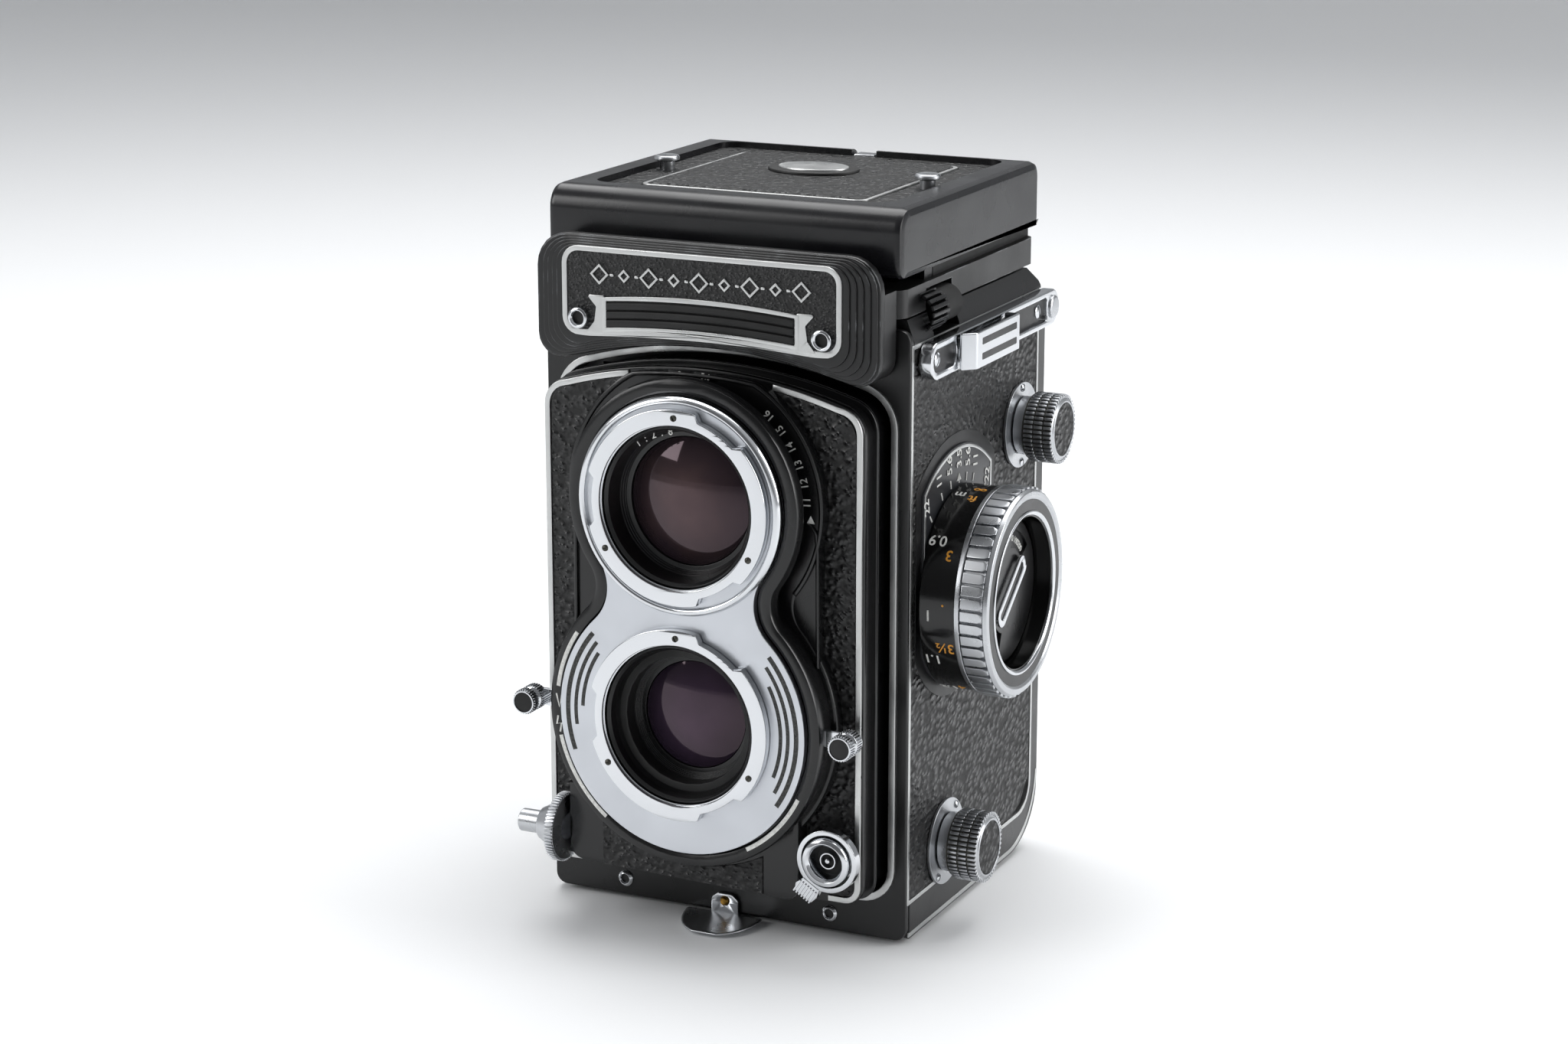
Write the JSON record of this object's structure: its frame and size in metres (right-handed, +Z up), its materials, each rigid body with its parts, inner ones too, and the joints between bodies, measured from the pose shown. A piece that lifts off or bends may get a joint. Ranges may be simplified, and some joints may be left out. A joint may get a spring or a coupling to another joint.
{
  "type": "twin lens reflex camera",
  "caption": "Box-shaped roll-film camera with one lens above the other, a folding viewing hood, a large side focus knob and a winding crank.",
  "frame": {"origin": "centre of the space the camera fills, at the ground under its feet", "axes": "+Z up, -Y the way the lenses face, +X towards the focus knob"},
  "size_m": [0.1056, 0.0888, 0.1439],
  "materials": {
    "black_paint": "black enamel",
    "black_metal": "matt black",
    "leatherette": "grained black",
    "chrome": "polished",
    "satin_chrome": "satin",
    "casting": "blackened casting",
    "coated_glass": "coated",
    "ground_glass": "ground",
    "mirror": "silvered",
    "brass": "polished"
  },
  "bodies": {
    "body": {"body_casting": "casting", "front_cover": "black_paint", "catch_pin": "brass", "side_cover_right": "leatherette", "side_cover_left": "leatherette", "depth_scale_plate": "black_paint", "spool_plate_upper": "chrome", "spool_plate_lower": "chrome", "strap_lug_right": "chrome", "strap_lug_left": "chrome", "crank_plate": "black_paint", "mirror": "mirror", "focusing_screen": "ground_glass", "hood_base": "black_paint", "nameplate_housing": "black_paint", "meter_cell_cover": "black_metal"},
    "front_standard": {"lens_board": "black_paint", "lens_housing": "black_paint", "faceplate": "satin_chrome", "viewing_bayonet": "chrome", "taking_bayonet": "chrome", "viewing_barrel": "black_metal", "taking_barrel": "black_metal", "viewing_glass": "coated_glass", "taking_glass": "coated_glass", "shutter_case": "black_metal", "flash_socket": "chrome"},
    "focus_knob": {"focus_knob": "satin_chrome"},
    "film_dial": {"film_dial": "black_paint"},
    "spool_knob_upper": {"spool_knob_upper": "satin_chrome"},
    "spool_knob_lower": {"spool_knob_lower": "satin_chrome"},
    "takeup_spool": {"takeup_spool": "black_metal"},
    "supply_spool": {"supply_spool": "black_metal"},
    "strap_clip_right": {"strap_clip_right": "chrome"},
    "strap_clip_left": {"strap_clip_left": "chrome"},
    "winding_crank": {"winding_crank": "chrome"},
    "crank_knob": {"crank_knob": "black_metal"},
    "hood_lid": {"hood_lid": "black_paint", "lid_stud_left": "chrome", "lid_stud_right": "chrome"},
    "finder_flap": {"finder_flap": "leatherette"},
    "hood_leaf_left": {"hood_leaf_left": "black_metal"},
    "hood_leaf_right": {"hood_leaf_right": "black_metal"},
    "hood_leaf_rear": {"hood_leaf_rear": "black_metal"},
    "magnifier": {"magnifier_frame": "black_metal", "magnifier_lens": "coated_glass"},
    "catch_roller": {"catch_roller": "black_metal"},
    "back_door": {"back_door": "black_paint", "tripod_bush": "chrome", "foot_front_left": "chrome", "foot_front_right": "chrome", "foot_rear_left": "chrome", "foot_rear_right": "chrome"},
    "pressure_plate": {"pressure_plate": "black_metal"},
    "latch_lever": {"latch_lever": "chrome"},
    "exposure_lever_right": {"exposure_lever_right": "chrome"},
    "exposure_lever_left": {"exposure_lever_left": "chrome"},
    "release_plunger": {"release_plunger": "chrome"},
    "release_collar": {"release_collar": "satin_chrome"},
    "flash_lock_lever": {"flash_lock_lever": "chrome"}
  },
  "joints": [
    {"name": "lens_board_focus", "type": "slide", "parent": "body", "child": "front_standard", "axis": [0, -1, 0], "range_m": [0, 0.0068]},
    {"name": "focus_knob_turn", "type": "hinge", "parent": "body", "child": "focus_knob", "pos_m": [0.045, -0.0013, 0.0666], "axis": [1, 0, 0], "range_deg": [0, 315.2]},
    {"name": "film_dial_turn", "type": "hinge", "parent": "focus_knob", "child": "film_dial", "pos_m": [0.049, -0.0013, 0.0666], "axis": [1, 0, 0], "continuous": true},
    {"name": "spool_knob_upper_pull", "type": "slide", "parent": "body", "child": "spool_knob_upper", "axis": [1, 0, 0], "range_m": [0, 0.006]},
    {"name": "spool_knob_lower_pull", "type": "slide", "parent": "body", "child": "spool_knob_lower", "axis": [1, 0, 0], "range_m": [0, 0.006]},
    {"name": "takeup_spool_turn", "type": "hinge", "parent": "body", "child": "takeup_spool", "pos_m": [0, 0.0308, 0.0913], "axis": [1, 0, 0], "continuous": true},
    {"name": "supply_spool_turn", "type": "hinge", "parent": "body", "child": "supply_spool", "pos_m": [0, -0.005, 0.0158], "axis": [1, 0, 0], "continuous": true},
    {"name": "strap_clip_right_slide", "type": "slide", "parent": "body", "child": "strap_clip_right", "axis": [0, 1, 0], "range_m": [0, 0.006]},
    {"name": "strap_clip_left_slide", "type": "slide", "parent": "body", "child": "strap_clip_left", "axis": [0, 1, 0], "range_m": [0, 0.006]},
    {"name": "winding_crank_turn", "type": "hinge", "parent": "body", "child": "winding_crank", "pos_m": [-0.044, 0.0026, 0.0672], "axis": [1, 0, 0], "range_deg": [0, 345]},
    {"name": "crank_knob_spin", "type": "hinge", "parent": "winding_crank", "child": "crank_knob", "pos_m": [-0.05, 0.0176, 0.04122], "axis": [1, 0, 0], "continuous": true},
    {"name": "hood_lid_hinge", "type": "hinge", "parent": "body", "child": "hood_lid", "pos_m": [0, -0.0184, 0.1356], "axis": [1, 0, 0], "range_deg": [0, 90]},
    {"name": "hood_leaf_left_hinge", "type": "hinge", "parent": "body", "child": "hood_leaf_left", "pos_m": [-0.0335, 0.0096, 0.1288], "axis": [0, -1, 0], "range_deg": [0, 90]},
    {"name": "hood_leaf_right_hinge", "type": "hinge", "parent": "body", "child": "hood_leaf_right", "pos_m": [0.0335, 0.0096, 0.1288], "axis": [0, 1, 0], "range_deg": [0, 90]},
    {"name": "hood_leaf_rear_hinge", "type": "hinge", "parent": "body", "child": "hood_leaf_rear", "pos_m": [0, 0.0366, 0.1288], "axis": [-1, 0, 0], "range_deg": [0, 90]},
    {"name": "finder_flap_hinge", "type": "hinge", "parent": "hood_lid", "child": "finder_flap", "pos_m": [0, -0.012, 0.1396], "axis": [-1, 0, 0], "range_deg": [0, 2.4]},
    {"name": "magnifier_hinge", "type": "hinge", "parent": "hood_lid", "child": "magnifier", "pos_m": [0, 0.0368, 0.1348], "axis": [1, 0, 0], "range_deg": [0, 4]},
    {"name": "catch_roller_turn", "type": "hinge", "parent": "body", "child": "catch_roller", "pos_m": [0.0355, -0.0047, 0.1216], "axis": [0, 1, 0], "range_deg": [-25, 25]},
    {"name": "back_door_hinge", "type": "hinge", "parent": "body", "child": "back_door", "pos_m": [0, 0.0424, 0.1174], "axis": [1, 0, 0], "range_deg": [0, 140]},
    {"name": "pressure_plate_spring", "type": "slide", "parent": "back_door", "child": "pressure_plate", "axis": [0, 1, 0], "range_m": [0, 0.0008], "stiffness_N_per_m": 900, "springref_m": -0.0008},
    {"name": "latch_lever_hinge", "type": "hinge", "parent": "back_door", "child": "latch_lever", "pos_m": [0, -0.02405, 0.0005], "axis": [1, 0, 0], "range_deg": [0, 40]},
    {"name": "exposure_lever_right_turn", "type": "hinge", "parent": "front_standard", "child": "exposure_lever_right", "pos_m": [0, -0.0384, 0.0452], "axis": [0, 1, 0], "range_deg": [-22, 14]},
    {"name": "exposure_lever_left_turn", "type": "hinge", "parent": "front_standard", "child": "exposure_lever_left", "pos_m": [0, -0.0384, 0.0452], "axis": [0, 1, 0], "range_deg": [-14, 22]},
    {"name": "release_plunger_press", "type": "slide", "parent": "front_standard", "child": "release_plunger", "axis": [1, 0, 0], "range_m": [0, 0.0025], "stiffness_N_per_m": 400, "springref_m": -0.001},
    {"name": "release_collar_turn", "type": "hinge", "parent": "front_standard", "child": "release_collar", "pos_m": [-0.0286, -0.0367, 0.0187], "axis": [1, 0, 0], "range_deg": [0, 60]},
    {"name": "flash_lock_turn", "type": "hinge", "parent": "front_standard", "child": "flash_lock_lever", "pos_m": [0.0285, -0.038, 0.021], "axis": [0, -1, 0], "range_deg": [0, 35]}
  ],
  "couplings": [
    {"joint": "focus_knob_turn", "follows": "lens_board_focus", "rad_per_m": 808.5},
    {"joint": "hood_leaf_left_hinge", "follows": "hood_lid_hinge", "ratio": 1},
    {"joint": "hood_leaf_right_hinge", "follows": "hood_lid_hinge", "ratio": 1},
    {"joint": "hood_leaf_rear_hinge", "follows": "hood_lid_hinge", "ratio": 1}
  ]
}
